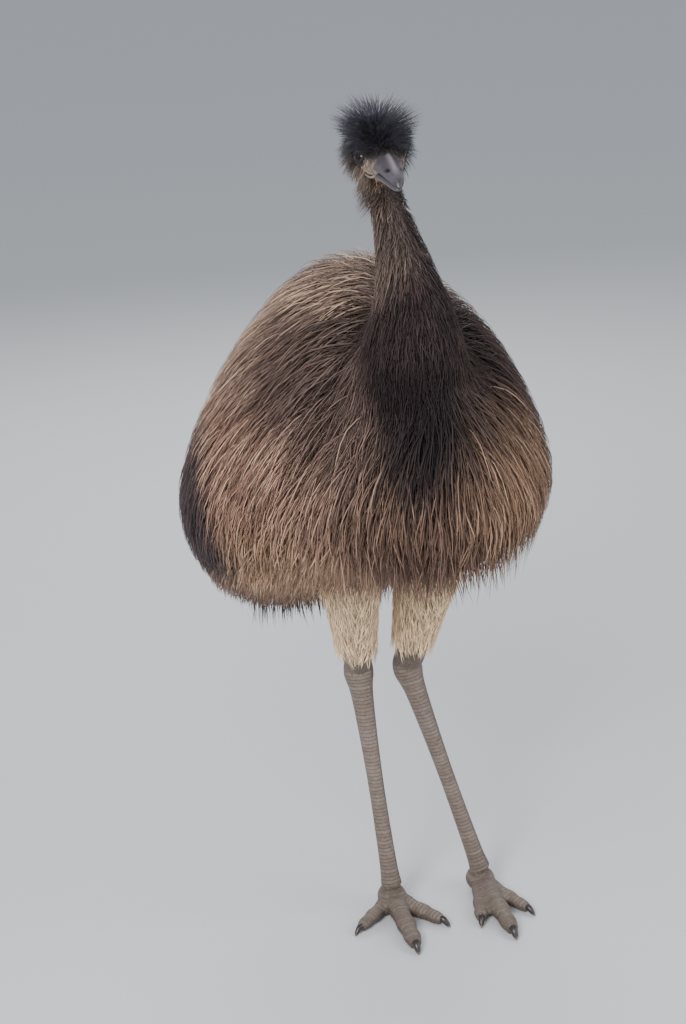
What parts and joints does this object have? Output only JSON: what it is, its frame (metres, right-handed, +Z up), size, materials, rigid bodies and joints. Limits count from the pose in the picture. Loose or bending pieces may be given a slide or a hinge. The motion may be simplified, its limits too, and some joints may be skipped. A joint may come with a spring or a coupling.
{
  "type": "emu, standing figure",
  "caption": "Life-size standing emu with shaggy drooping plumage, bristly crown, bare shanks and three-toed feet.",
  "frame": {"origin": "on the floor, at the middle of the figure's footprint box", "axes": "-Y the way the bird faces, +X its left side, +Z up"},
  "size_m": [0.5466, 0.758, 1.3404],
  "materials": {
    "body_plumage": "matte",
    "rear_plumage": "matte",
    "wing_plumage": "matte",
    "neck_plumage": "matte",
    "head_plumage": "matte",
    "bill_horn": "satin",
    "eye_gloss": "gloss",
    "thigh_plumage": "matte",
    "leg_skin": "matte",
    "claw_horn": "satin"
  },
  "bodies": {
    "root": {"torso": "body_plumage", "rump": "rear_plumage", "tail": "rear_plumage", "wing_left": "wing_plumage", "wing_right": "wing_plumage", "neck_lower": "neck_plumage", "neck_upper": "neck_plumage", "head": "head_plumage", "bill_upper": "bill_horn", "bill_lower": "bill_horn", "eye_left": "eye_gloss", "eye_right": "eye_gloss", "thigh_left": "thigh_plumage", "thigh_right": "thigh_plumage", "shank_left": "leg_skin", "shank_right": "leg_skin", "foot_left": "leg_skin", "foot_right": "leg_skin", "toe_inner_left": "leg_skin", "toe_middle_left": "leg_skin", "toe_outer_left": "leg_skin", "toe_inner_right": "leg_skin", "toe_middle_right": "leg_skin", "toe_outer_right": "leg_skin", "claw_inner_left": "claw_horn", "claw_middle_left": "claw_horn", "claw_outer_left": "claw_horn", "claw_inner_right": "claw_horn", "claw_middle_right": "claw_horn", "claw_outer_right": "claw_horn"}
  },
  "joints": []
}
